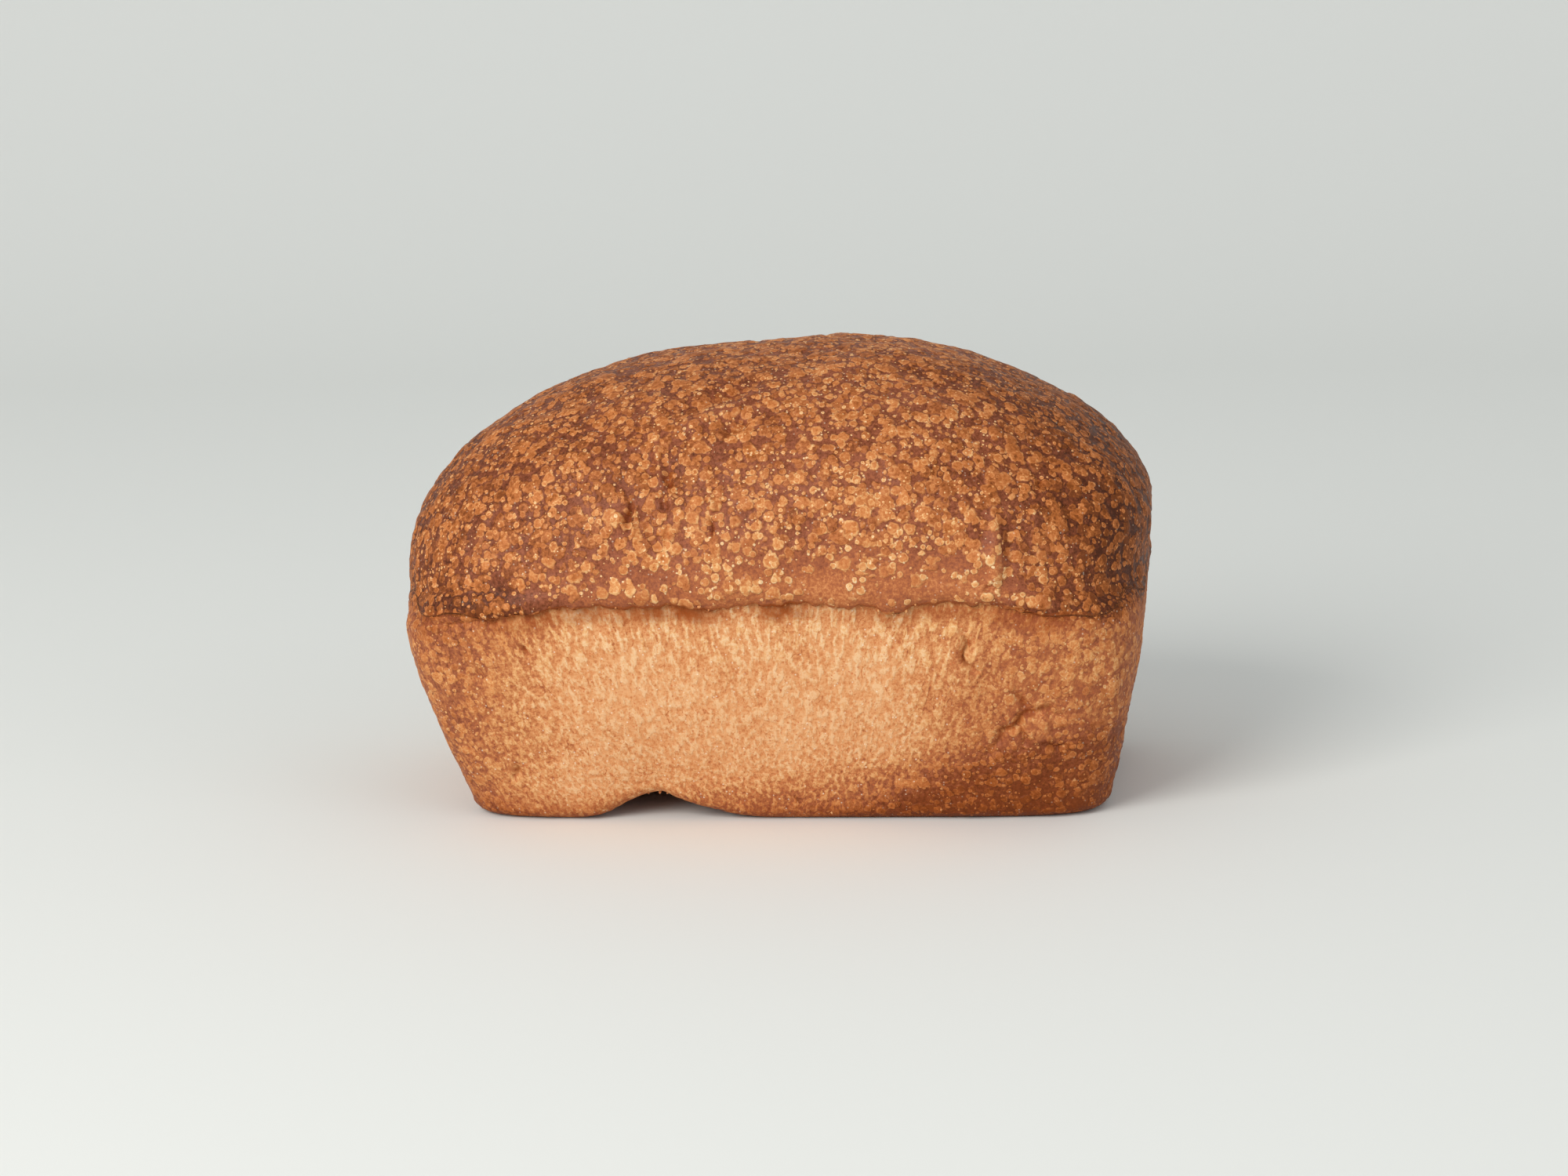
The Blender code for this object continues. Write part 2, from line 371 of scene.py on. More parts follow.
@dataclass(frozen=True)
class StreakPattern:
    """Fine cells of the wall, round near the base and drawn out upwards, in a fan that opens to the lip."""

    fan: float = 5.2
    start: float = 20.0 * MM
    round_squeeze: float = 0.80
    long_squeeze: float = 0.20
    wall_height: float = 75.0 * MM
    cell: float = 1.4 * MM
    wander_size: float = 2.4 * MM
    wander: float = 0.7 * MM
    line_gap: float = 3.2 * MM
    line_patches: float = 7.0 * MM
    dot_gap: float = 0.9 * MM

    def spread(self, weave: Weave, place: object) -> Socket:
        """Gather the fan of streaks into straight columns.

        Args:
            weave: The tree to build in.
            place: Where on the crust, in metres.

        Returns:
            A place that changes slowly along a streak.
        """
        x, y, z = weave.split(place)
        widen = weave.scale_add(weave.math("SUBTRACT", z, self.start), self.fan, 1.0)
        slope = 0.5 * (self.long_squeeze - self.round_squeeze) / self.wall_height
        drawn = weave.math("MULTIPLY", z, weave.scale_add(z, slope, self.round_squeeze))
        return weave.join(weave.math("DIVIDE", x, widen), weave.math("DIVIDE", y, widen), drawn)

    def build(self, weave: Weave, place: object) -> dict:
        """Lay the pattern down in a tree.

        Args:
            weave: The tree to build in.
            place: Where on the crust, in metres.

        Returns:
            The outputs by name: cell, grain, line, fleck and glint.
        """
        columns = self.spread(weave, place)
        wander = weave.noise(place, self.wander_size, 2.0, 0.6, 0.7)
        shake = weave.vector("SUBTRACT", wander.outputs["Color"], (0.5, 0.5, 0.5))
        columns = weave.vector("ADD", columns, weave.vector("SCALE", shake, self.wander))
        grain = weave.noise(columns, self.cell, 2.0, 0.55, 2.3).outputs[0]
        cell = weave.step(grain, 0.45, 0.60)
        wide = weave.noise(columns, self.line_gap, 1.0, 0.5, 5.3).outputs[0]
        ridge = weave.math("ABSOLUTE", weave.math("SUBTRACT", wide, 0.5))
        patch = weave.noise(place, self.line_patches, 2.0, 0.5, 9.1).outputs[0]
        line = weave.math("MULTIPLY", weave.step(ridge, 0.024, 0.004), weave.step(patch, 0.52, 0.62))
        dots = weave.add("ShaderNodeTexVoronoi", feature="F1")
        weave.feed(dots.inputs["Vector"], place)
        dots.inputs["Scale"].default_value = 1.0 / self.dot_gap
        chance = weave.split(dots.outputs["Color"])[0]
        dot = weave.step(dots.outputs["Distance"], 0.40, 0.18)
        fleck = weave.math("MULTIPLY", dot, weave.step(chance, 0.24, 0.14))
        glint = weave.math("MULTIPLY", dot, weave.step(chance, 0.93, 0.97))
        return {"cell": cell, "grain": grain, "line": line, "fleck": fleck, "glint": glint}


# ---------------------------------------------------------------- the loaf's form


@dataclass(frozen=True)
class Stroke:
    """A ridge, or a groove with a negative rise, that runs along a short path on the front of the loaf.

    The path's points are how far along the loaf they are and how high, in millimetres, as are width and rise.
    """

    path: tuple
    width: float
    rise: float
    tip: float = 0.04
    bluntness: float = 0.6
    sway_across: Wave = Wave(((0.30 * MM, 1.7 * MM, 1.0), (0.30 * MM, 0.9 * MM, 0.0)))
    sway_up: Wave = Wave(((0.30 * MM, 1.9 * MM, 0.0), (0.30 * MM, 1.0 * MM, 2.0)))

    def trace(self, x: np.ndarray, z: np.ndarray) -> tuple:
        """Measure places seen from the front against the path.

        Args:
            x: Places along the loaf, in metres.
            z: Heights, in metres.

        Returns:
            How far each place is from the path, and a taper that falls to 0 at the path's ends.
        """
        x = x + self.sway_across.at(z)
        z = z + self.sway_up.at(x)
        nearest = np.full(x.shape, 1.0)
        along = np.zeros(x.shape)
        count = len(self.path) - 1
        for index in range(count):
            (x0, z0), (x1, z1) = self.path[index], self.path[index + 1]
            run_x, run_z = (x1 - x0) * MM, (z1 - z0) * MM
            share = ((x - x0 * MM) * run_x + (z - z0 * MM) * run_z) / (run_x**2 + run_z**2)
            share = np.clip(share, 0.0, 1.0)
            gap = np.hypot(x - x0 * MM - share * run_x, z - z0 * MM - share * run_z)
            closer = gap < nearest
            nearest = np.where(closer, gap, nearest)
            along = np.where(closer, (index + share) / count, along)
        return nearest, np.sin(np.pi * np.clip(along, self.tip, 1.0 - self.tip))

    def push(self, x: np.ndarray, z: np.ndarray) -> np.ndarray:
        """Work out the outward push at places seen from the front, in metres."""
        nearest, taper = self.trace(x, z)
        return self.rise * MM * taper**self.bluntness * np.exp(-((nearest / (self.width * MM)) ** 2))


@dataclass(frozen=True)
class LoafForm:
    """The loaf's body as level outlines, one above another, from the base to the crown."""

    half_length: float
    half_width: float
    height: float
    base_length_share: float = 0.857
    base_width_share: float = 0.743
    edge_radius: float = 5.2 * MM
    base_squareness: float = 8.0
    rim_height_share: float = 0.505
    rim_length_share: float = 0.984
    rim_width_share: float = 0.940
    smooth_rim_width_share: float = 0.9625
    rim_squareness: float = 6.0
    belly: float = 1.6 * MM
    base_drift: float = 1.9 * MM
    wall_drift: float = -2.3 * MM
    lip_height_share: float = 0.550
    lip_squareness: float = 3.7
    lip_drift: float = -1.5 * MM
    shoulder_drift: float = 0.9 * MM
    roundness_lengthways: float = 2.11
    roundness_crossways: float = 2.20
    crown_squareness: float = 2.2
    crown_tilt: float = 0.038
    shoulder_angle: float = math.radians(40.0)
    edge_share: float = 0.06
    wall_share: float = 0.47
    lip_share: float = 0.12
    crease_end: Rise = Rise(0.62, 0.34)

    @property
    def crease_at(self) -> float:
        """The station of the crease between the wall and the lip."""
        return self.edge_share + self.wall_share

    def dome(self, angle: np.ndarray) -> tuple:
        """Size, height, squareness and drift of the dome's outlines at angles from the lip to the crown."""
        lift = np.clip(np.sin(angle), 0.0, 1.0)
        rise = self.height * (1.0 - self.lip_height_share)
        power_x, power_y = self.roundness_lengthways, self.roundness_crossways
        return (
            self.half_length * np.maximum(1.0 - lift**power_x, 0.0) ** (1.0 / power_x),
            self.half_width * np.maximum(1.0 - lift**power_y, 0.0) ** (1.0 / power_y),
            self.height * self.lip_height_share + rise * lift,
            self.lip_squareness + (self.crown_squareness - self.lip_squareness) * lift**0.8,
            self.lip_drift * (1.0 - lift * lift) + self.shoulder_drift * np.sin(np.pi * lift),
        )

    def side(self, station: np.ndarray, creased: bool) -> tuple:
        """Size, height, squareness and drift of the side's outlines.

        Args:
            station: How far up the side, 0 at the base and 1 at the shoulder.
            creased: Whether the lip stands over the wall, or the wall runs on smoothly.

        Returns:
            Arrays of half length, half width, height, squareness and drift.
        """
        length0 = self.half_length * self.base_length_share
        width0 = self.half_width * self.base_width_share
        rim = self.height * self.rim_height_share
        lip = self.height * self.lip_height_share
        turn = 0.5 * np.pi * np.clip(station / self.edge_share, 0.0, 1.0)
        wall = np.clip((station - self.edge_share) / self.wall_share, 0.0, 1.0)
        under = np.clip((station - self.crease_at) / self.lip_share, 0.0, 1.0)
        above = self.crease_at + self.lip_share
        angle = self.shoulder_angle * np.clip((station - above) / (1.0 - above), 0.0, 1.0)
        inset = self.edge_radius * (1.0 - np.sin(turn))
        belly = self.belly * np.sin(np.pi * wall)
        rim_width = self.rim_width_share if creased else self.smooth_rim_width_share
        length = length0 - inset + (self.half_length * self.rim_length_share - length0) * wall + belly
        width = width0 - inset + (self.half_width * rim_width - width0) * wall + belly
        level = self.edge_radius * (1.0 - np.cos(turn)) + (rim - self.edge_radius) * wall
        square = self.base_squareness + (self.rim_squareness - self.base_squareness) * wall
        drift = self.base_drift + (self.wall_drift - self.base_drift) * wall
        reach = np.sin(0.5 * np.pi * under) if creased else ease(under)
        climb = 1.0 - np.cos(0.5 * np.pi * under) if creased else under
        length = length + (self.half_length - length) * reach
        width = width + (self.half_width - width) * reach
        level = level + (lip - level) * climb * (wall >= 1.0)
        square = square + (self.lip_squareness - square) * under
        drift = drift + (self.lip_drift - drift) * under
        domed = self.dome(angle)
        high = station > above
        below = (length, width, level, square, drift)
        return tuple(np.where(high, over, low) for over, low in zip(domed, below))

    def outline(self, ring: tuple, across: np.ndarray, along: np.ndarray) -> np.ndarray:
        """Place points of a square outline on their rings."""
        length, width, level, power, drift = ring
        reach = (np.abs(across) ** power + np.abs(along) ** power) ** (-1.0 / power)
        return np.stack((drift + length * reach * across, width * reach * along, level), axis=1)

    def corner_share(self, across: np.ndarray, along: np.ndarray) -> np.ndarray:
        """How far towards a corner or an end a point of the square outline is, 0 to 1."""
        on_side = np.abs(along) >= np.abs(across)
        return np.where(on_side, self.crease_end.at(np.abs(across)), 1.0)

    def surface(self, block: np.ndarray) -> tuple:
        """Move points of a block that spans -1 to 1 to the loaf's surface.

        Args:
            block: The points, one row each.

        Returns:
            The places, and each one's station: 0 to 1 up the side, above 1 on the crown, below 0 on the base.
        """
        across, along, up = block.T
        top, bottom = up > 1.0 - FLATNESS, up < FLATNESS - 1.0
        spread = np.maximum(np.maximum(np.abs(across), np.abs(along)), NOTHING)
        across = np.where(spread > NOTHING, across, spread)
        flat_across, flat_along = across / spread, along / spread
        station = np.clip((up + 1.0) / 2.0, 0.0, 1.0)
        corner = self.corner_share(flat_across, flat_along)[:, None]
        sharp = self.outline(self.side(station, True), flat_across, flat_along)
        soft = self.outline(self.side(station, False), flat_across, flat_along)
        places = sharp * (1.0 - corner) + soft * corner
        crown = self.dome(np.arccos(spread * math.cos(self.shoulder_angle)))
        crown = self.outline(crown, flat_across, flat_along)
        places[top] = crown[top]
        places[bottom] *= np.stack((spread, spread, np.zeros_like(spread)), axis=1)[bottom]
        station = np.where(top, 2.0 - spread, np.where(bottom, spread - 1.0, station))
        return places, station


# ---------------------------------------------------------------- the skin


@dataclass(frozen=True)
class CrustTones:
    """Colours by how far the crust is baked: between the blisters, on them, and the one dark tone of painted
    shade and stains.
    """

    between: tuple = (
        (0.00, tone(221, 162, 111)),
        (0.20, tone(206, 136, 84)),
        (0.40, tone(173, 100, 58)),
        (0.58, tone(147, 82, 54)),
        (0.78, tone(114, 57, 29)),
        (1.00, tone(70, 31, 9)),
    )
    raised: tuple = (
        (0.00, tone(237, 206, 163)),
        (0.20, tone(230, 180, 122)),
        (0.40, tone(214, 147, 89)),
        (0.58, tone(198, 121, 66)),
        (0.78, tone(173, 98, 44)),
        (1.00, tone(124, 63, 16)),
    )
    # Dark tone of the painted shade under the lip, in the grooves and at the lower right corner, and of the
    # darker crust round the base.
    shade_and_stain: tuple = tone(146, 68, 18)
    fleck: tuple = tone(190, 98, 54)
    glint: tuple = tone(244, 226, 200)


@dataclass(frozen=True)
class Relief:
    """How high and how wide the skin's fine relief is, in metres."""

    wave: float = 4.0 * MM
    wave_size: float = 34.0 * MM
    bump: float = 1.7 * MM
    bump_size: float = 11.0 * MM
    dimple: float = 0.9 * MM
    dimple_size: float = 4.6 * MM
    blister: float = 0.38 * MM
    cell: float = 0.08 * MM
    wall_share: float = 0.35


@dataclass(frozen=True)
class CrustFinish:
    """How the crust's colours vary, how dull it is, and the relief that is too fine for the mesh."""

    cloud_size: float = 22.0 * MM
    cloud: float = 0.36
    mottle_size: float = 5.0 * MM
    mottle: float = 0.26
    patchiness: float = 0.8
    fine_size: float = 1.0 * MM
    wall_speckle: float = 1.05
    dome_speckle: float = 0.95
    cells_by_bake: float = 1.2
    cells_low: float = 0.28
    cells_high: float = 0.56
    cells_most: float = 0.95
    grain: float = 0.30
    line: float = 0.22
    pale: float = 0.60
    fleck: float = 0.6
    wall_glint: float = 0.6
    dome_glint: float = 0.3
    wall_roughness: float = 0.70
    gap_roughness: float = 0.48
    blister_roughness: float = 0.58
    specular: float = 0.16
    blister_height: float = 0.28 * MM
    dome_grit: float = 0.10 * MM
    cell_height: float = 0.07 * MM
    grain_height: float = 0.28 * MM
    wall_grit: float = 0.14 * MM


FOLDS = (
    Stroke(((-26, 125), (-16, 128), (-7, 131), (-1, 133)), 2.2, -1.6),
    Stroke(((-27, 121), (-19, 124), (-10, 127), (-1, 131)), 2.2, 1.4),
    Stroke(((-12, 119), (-8, 123), (-2, 126)), 2.0, -1.2),
    Stroke(((-31, 119), (-30, 112), (-28, 108)), 1.1, 1.5),
    Stroke(((-34, 117), (-33, 110), (-31, 106)), 1.6, -0.8),
    Stroke(((-27, 111), (-26, 106)), 1.2, -2.3),
    Stroke(((-25, 106), (-26, 99)), 1.0, 1.2),
    Stroke(((-28, 105), (-28, 98)), 0.8, -1.3),
    Stroke(((-38, 103), (-38, 99), (-39, 94)), 0.7, -2.2),
    Stroke(((-41, 101), (-41, 94)), 1.4, 1.4),
    Stroke(((-37, 98), (-37, 92)), 0.9, 0.9),
    Stroke(((-34, 99), (-32, 93), (-29, 87)), 0.6, -1.3),
    Stroke(((-33, 95), (-30, 88)), 0.8, 0.6),
    Stroke(((-27, 97), (-27, 89)), 0.6, -1.1),
    Stroke(((-14, 105), (-13, 98)), 0.9, 1.5),
    Stroke(((-13, 99), (-13, 91)), 0.6, -1.7),
    Stroke(((70, 98), (71, 87), (71, 81), (69, 75)), 2.2, 2.8),
    Stroke(((70, 88), (66, 82)), 1.6, 1.5),
    Stroke(((74, 95), (75, 85), (73, 77)), 1.5, -1.5),
    Stroke(((70, 77), (68, 74)), 0.9, -1.6),
    Stroke(((83, 97), (81, 92)), 1.3, 1.2),
    Stroke(((74, 100), (75, 95)), 1.3, 1.2),
    Stroke(((84, 107), (84, 104), (81, 101)), 1.2, -1.5),
    Stroke(((92, 100), (94, 90)), 1.6, -1.1),
    Stroke(((57, 108), (60, 101)), 1.6, -1.0),
    Stroke(((-62, 103), (-52, 108)), 2.2, -0.8),
    Stroke(((-80, 92), (-70, 96)), 2.2, -0.8),
    Stroke(((20, 128), (32, 125)), 2.2, -0.9),
)
WALL_DENTS = (
    Stroke(((60, 61), (62, 58), (60.5, 55), (61, 52), (64, 49)), 1.0, -2.6),
    Stroke(((64, 59), (66, 50)), 2.4, 0.6),
    Stroke(((57, 59), (58, 51)), 2.2, 0.5),
    Stroke(((75, 43), (77, 40), (78, 37), (81, 36)), 1.1, -2.0),
    Stroke(((67, 22), (70, 26), (71, 29), (75, 31), (77, 34), (82, 35), (85, 36.5), (89, 34)), 1.2, -2.4),
    Stroke(((78, 28), (87, 29)), 5.0, 1.3),
    Stroke(((77, 33), (78, 24)), 1.1, -1.9),
    Stroke(((82, 25), (91, 24)), 1.1, -1.8),
    Stroke(((66, 46), (69, 40)), 1.6, -1.2),
    Stroke(((-73, 58), (-71, 55)), 1.1, -1.8),
    Stroke(((-79, 14), (-77, 19)), 1.1, -1.9),
    Stroke(((-90, 50), (-84, 46)), 2.0, -1.0),
    Stroke(((-99, 64), (-84, 66), (-76, 67), (-66, 69)), 1.2, -1.8),
    Stroke(((66, 70), (74, 69), (85, 65), (96, 62)), 1.3, -1.4),
    Stroke(((70, 74), (79, 72), (90, 69)), 2.2, 1.1),
    Stroke(((104, 55), (105, 40), (104, 28)), 1.6, 0.9),
)
BIG_BLISTERS = (
    (78, 80), (84, 78), (94, 74), (49, 116), (49, 111), (92, 108), (68, 115), (-60, 110), (30, 96),
)
BIG_BLISTER_LENGTH = 0.5
BIG_BLISTER_WIDTH = 1.9
BIG_BLISTER_RISE = 0.9
THIN_WIDTH = 1.25
WALL_FINENESS = 1.28


@dataclass(frozen=True)
class BakeMap:
    """How far the crust is baked, partly with painted shade at the dome's right end and in the hollow under
    the base, how blistered it is, and where painted shade and stains darken it, by place.
    """

    form: LoafForm
    end: Rise = Rise(99.0 * MM, 10.0 * MM)
    end_wander: Wave = Wave(((0.022, 9.0 * MM, 0.0), (0.0132, 3.7 * MM, 1.0)))
    lip_blur: float = 0.02
    end_blur: float = 0.07
    right: Rise = Rise(0.0, 42.0 * MM)
    right_edge: float = 39.5 * MM
    right_hollow: float = 42.0 * MM
    right_curve: float = 18.0 * MM
    left: Rise = Rise(52.0 * MM, 46.0 * MM)
    low: Rise = Rise(-21.0 * MM, 16.0 * MM)
    low_slope: float = 0.16
    under_lip: Rise = Rise(50.0 * MM, 22.0 * MM, 0.11)
    end_wall: Rise = Rise(99.5 * MM, 6.0 * MM, 0.14)
    end_slope: float = 0.19
    corner_fade: float = 30.0 * MM
    wall_bake: float = 0.08
    wall_bake_gains: tuple = (0.38, 0.47, 0.32, 0.05)
    wall_blisters: tuple = (0.52, 0.55, 0.20)
    most_wall_blisters: float = 0.70
    dome_bake: float = 0.56
    # The right end's gain is partly painted shade, for the side away from the light.
    dome_bake_and_shade_gains: tuple = (0.16, 0.54, 0.25)
    dome_bake_powers: tuple = (1.0, 3.5, 1.5)
    by_crease: Bell = Bell(70.0 * MM, 8.0 * MM, 0.14)
    by_crease_left: Rise = Rise(40.0 * MM, 30.0 * MM)
    # Painted shadow line just under the lip, in the crease.
    crease_band: Bell = Bell(-0.022, 0.015)
    crease_top: float = 0.04
    crease_fade: Rise = Rise(0.55, 0.40, 0.7)
    base_band: Bell = Bell(0.0, 6.5 * MM)
    base_gains: tuple = (0.55, 0.50, 0.16)
    # Extra darkness on the base face: partly the base's own browning, partly painted shade in the hollow
    # under the front.
    base_face: float = 0.004
    base_face_bake_and_shade: float = 0.35
    # Painted shade in the grooves of the folds, by how deep they are.
    groove: Rise = Rise(0.475 * MM, 1.9 * MM, 0.80)
    ridge: Rise = Rise(0.0, 1.9 * MM, 0.20)
    # Painted shade at the lower right corner, together with the crust's darker tone there.
    corner_shade_and_stain: float = 0.56
    lip_band: Bell = Bell(76.0 * MM, 8.0 * MM)
    lip_band_ends: Rise = Rise(64.0 * MM, 24.0 * MM)
    lip_band_left: float = 0.62
    lip_band_right: Rise = Rise(-10.0 * MM, 40.0 * MM, 0.38)
    lip_band_bake: float = -0.20
    lip_band_bareness: float = 0.80
    lip_edge: Bell = Bell(70.5 * MM, 2.8 * MM, 0.70)
    lip_edge_ends: Rise = Rise(58.0 * MM, 14.0 * MM)
    least_blisters: float = 0.62

    def from_edges(self, x: np.ndarray, z: np.ndarray) -> tuple:
        """How near a wall's place is to the right end, the left end, the base and the lower right corner."""
        edge = self.right_edge - self.right_hollow * np.exp(-z / self.right_curve)
        right = self.right.at(x - edge)
        low = self.low.at(self.low_slope * x - z)
        return right, self.left.at(-x), low, np.exp(-z / self.corner_fade) * right

    def wall(self, x: np.ndarray, z: np.ndarray) -> tuple:
        """Work out the bake and the blisters of the wall: least in the middle of the long sides."""
        near = self.from_edges(x, z)
        bake = self.wall_bake + sum(gain * share for gain, share in zip(self.wall_bake_gains, near))
        end = self.end_wall.at(np.abs(x) - self.end_slope * z)
        bake = bake + self.under_lip.at(z) + end * (1.0 - near[2])
        blisters = sum(gain * share for gain, share in zip(self.wall_blisters, near))
        return bake, np.clip(blisters, 0.0, self.most_wall_blisters)

    def dome(self, x: np.ndarray, z: np.ndarray) -> np.ndarray:
        """Work out the bake of the dome: most at the top and at the two ends, and at the right end partly
        painted shade.
        """
        half = self.form.half_length
        rise = np.clip(2.0 * z / self.form.height - 1.0, 0.0, 1.0)
        near = (rise, np.clip(x / half, 0.0, 1.0), np.clip(-x / half, 0.0, 1.0))
        gains = zip(self.dome_bake_and_shade_gains, near, self.dome_bake_powers)
        bake = self.dome_bake + sum(gain * share**power for gain, share, power in gains)
        return bake + self.by_crease.at(z) * self.by_crease_left.at(-x)

    def shades_and_stains(self, x: np.ndarray, z: np.ndarray, station: np.ndarray, push: np.ndarray) -> np.ndarray:
        """Work out the painted shade under the lip and in the grooves, the darker crust round the base, and
        the lower right corner, which is partly painted shade and partly darker crust.
        """
        streaked = 0.62 + 0.38 * np.sin(x / (9.0 * MM) + 2.2 * np.sin(x / (17.0 * MM)))
        below = np.minimum(station - self.form.crease_at, self.crease_band.middle)
        shade_and_stain = streaked * self.crease_band.at(below) * (station < self.form.crease_at + self.crease_top)
        shade_and_stain = shade_and_stain * (1.0 - self.crease_fade.at(np.abs(x) / self.form.half_length))
        shade_and_stain = np.maximum(shade_and_stain, self.base_gains[1] * self.base_band.at(z))
        shade_and_stain = np.maximum(shade_and_stain, self.groove.at(-push))
        right = self.from_edges(x, z)[0]
        return np.maximum(shade_and_stain, self.corner_shade_and_stain * np.exp(-z / self.corner_fade) * right**2)

    def marks(self, places: np.ndarray, station: np.ndarray, push: np.ndarray) -> dict:
        """Work out the values to paint.

        Args:
            places: The vertices' places before the folds and the fine relief.
            station: How far up the side each vertex is.
            push: How far the folds pushed each vertex out.

        Returns:
            The numbers of each vertex, by mark.
        """
        x, y, z = places.T
        away = np.abs(x)
        end = self.end.at(away)
        above = station - self.form.crease_at - self.end_wander.at(y) * end
        above = np.clip(above / (self.lip_blur + self.end_blur * end), 0.0, 1.0)
        wall_bake, wall_blisters = self.wall(x, z)
        near_base = self.base_band.at(z)
        dome = np.maximum(np.maximum(above, wall_blisters), self.base_gains[0] * near_base)
        band = self.lip_band.at(z) * above * (y < 0.0) * (1.0 - self.lip_band_ends.at(away))
        band = band * (self.lip_band_left + self.lip_band_right.at(x))
        edge = self.lip_edge.at(z) * above * (1.0 - self.lip_edge_ends.at(away))
        blister = self.least_blisters + (1.0 - self.least_blisters) * above
        blister = blister * (1.0 - self.lip_band_bareness * band) * (1.0 - edge)
        bake = np.clip(wall_bake + (self.dome(x, z) - wall_bake) * above, 0.0, 1.0)
        # The base face and its hollow get extra darkness, partly painted shade.
        bake = bake + self.base_gains[2] * near_base + self.base_face_bake_and_shade * (station < self.base_face)
        bake = np.clip(bake + self.lip_band_bake * band - above * self.ridge.at(push), 0.0, 1.0)
        # Painted shade, and the darker crust round the base, stored as the crease mark.
        crease = self.shades_and_stains(x, z, station, push)
        return {Mark.DOME: dome, Mark.BAKE: bake, Mark.CREASE: crease, Mark.BLISTER: blister}


@dataclass
class LoafSkin:
    """The loaf's whole outer skin: one closed mesh with its relief, and its browned crust."""

    form: LoafForm
    tones: CrustTones = CrustTones()
    relief: Relief = Relief()
    finish: CrustFinish = CrustFinish()
    cells: tuple = (40, 22, 26)
    halvings: int = 2
    fine_band: float = 0.01
    fine_band_reach: float = 0.024
    fine_length: float = 80.0 * MM
    fine_gap: float = 3.2 * MM
    fine_cuts: int = 2
    crease_drops: tuple = (Rise(57.0 * MM, 28.0 * MM, 5.5 * MM), Rise(86.0 * MM, 26.0 * MM, 4.0 * MM))
    lip_hangs: tuple = (
        Bell(38.0 * MM, 6.0 * MM, 2.8 * MM),
        Bell(-16.0 * MM, 7.0 * MM, 1.0 * MM),
        Bell(-48.0 * MM, 10.0 * MM, 0.8 * MM),
        Bell(22.0 * MM, 4.0 * MM, 0.7 * MM),
        Bell(58.0 * MM, 4.0 * MM, 0.8 * MM),
        Bell(-100.0 * MM, 15.0 * MM, -3.2 * MM),
    )
    front_side: Rise = Rise(0.0, 25.0 * MM)
    ripple: Wave = Wave(((0.28 * MM, 1.9 * MM, 0.0), (0.28 * MM, 0.83 * MM, 2.0), (0.28 * MM, 3.3 * MM, 0.5)))
    ripple_end: Rise = Rise(60.0 * MM, 20.0 * MM)
    end_ripple: Wave = Wave(((0.90 * MM, 11.0 * MM, 0.0), (0.54 * MM, 4.3 * MM, 2.0)))
    end_ripple_start: Rise = Rise(99.0 * MM, 12.0 * MM)
    drop_powers: tuple = (1.5, 3.0)
    to_end: Rise = Rise(70.0 * MM, 40.0 * MM)
    right_full: Bell = Bell(97.0 * MM, 13.0 * MM, 1.3 * MM)
    right_tuck: Bell = Bell(75.0 * MM, 10.0 * MM, 2.2 * MM)
    left_tuck: Bell = Bell(66.0 * MM, 9.0 * MM, 2.0 * MM)
    sinks: tuple = (Bell(82.0 * MM, 25.0 * MM, 5.6 * MM), Bell(0.0, 45.0 * MM, 1.2 * MM))
    arch_centre: float = -35.0 * MM
    arch_left: float = 27.0 * MM
    arch_right: float = 36.0 * MM
    arch_sharpness: float = 2.2
    arch_height: float = 8.6 * MM
    arch_depth: float = 48.0 * MM
    arch_fade: float = 4.0
    name: str = "loaf_skin"

    def cut_block(self) -> bpy.types.Object:
        """Add a cube and cut its faces into a grid of cells.

        Returns:
            The cut cube.
        """
        bpy.ops.object.select_all(action="DESELECT")
        bpy.ops.mesh.primitive_cube_add(size=2.0, location=(0.0, 0.0, 0.0))
        skin = bpy.context.object
        skin.name = self.name
        bpy.ops.object.mode_set(mode="EDIT")
        for axis, count in enumerate(self.cells):
            for cut in range(1, count):
                place = [0.0, 0.0, 0.0]
                normal = [0.0, 0.0, 0.0]
                place[axis] = -1.0 + 2.0 * cut / count
                normal[axis] = 1.0
                bpy.ops.mesh.select_all(action="SELECT")
                bpy.ops.mesh.bisect(plane_co=place, plane_no=normal)
        bpy.ops.object.mode_set(mode="OBJECT")
        finer = skin.modifiers.new("finer", "SUBSURF")
        finer.subdivision_type = "SIMPLE"
        finer.levels = self.halvings
        finer.render_levels = self.halvings
        bpy.ops.object.modifier_apply(modifier=finer.name)
        return skin

    def refine(self, skin: bpy.types.Object) -> None:
        """Cut the faces finer near the crease and the front's thin folds, so that they keep their edges."""
        mesh = skin.data
        places, station = self.shape(mesh)
        x, y, z = places.T
        near = np.abs(station - self.form.crease_at - self.fine_band) < self.fine_band_reach
        near &= np.abs(x) < self.fine_length
        for stroke in (*FOLDS, *WALL_DENTS):
            if stroke.width < THIN_WIDTH:
                near |= stroke.trace(x, z)[0] < self.fine_gap
        near &= y < 0.0
        corners = np.empty(len(mesh.loops), np.int32)
        mesh.loops.foreach_get("vertex_index", corners)
        chosen = near[corners.reshape(-1, 4)].all(axis=1)
        bpy.ops.object.mode_set(mode="EDIT")
        bpy.ops.mesh.select_mode(type="FACE")
        bpy.ops.mesh.select_all(action="DESELECT")
        bpy.ops.object.mode_set(mode="OBJECT")
        mesh.polygons.foreach_set("select", chosen)
        bpy.ops.object.mode_set(mode="EDIT")
        bpy.ops.mesh.subdivide(number_cuts=self.fine_cuts)
        bpy.ops.object.mode_set(mode="OBJECT")

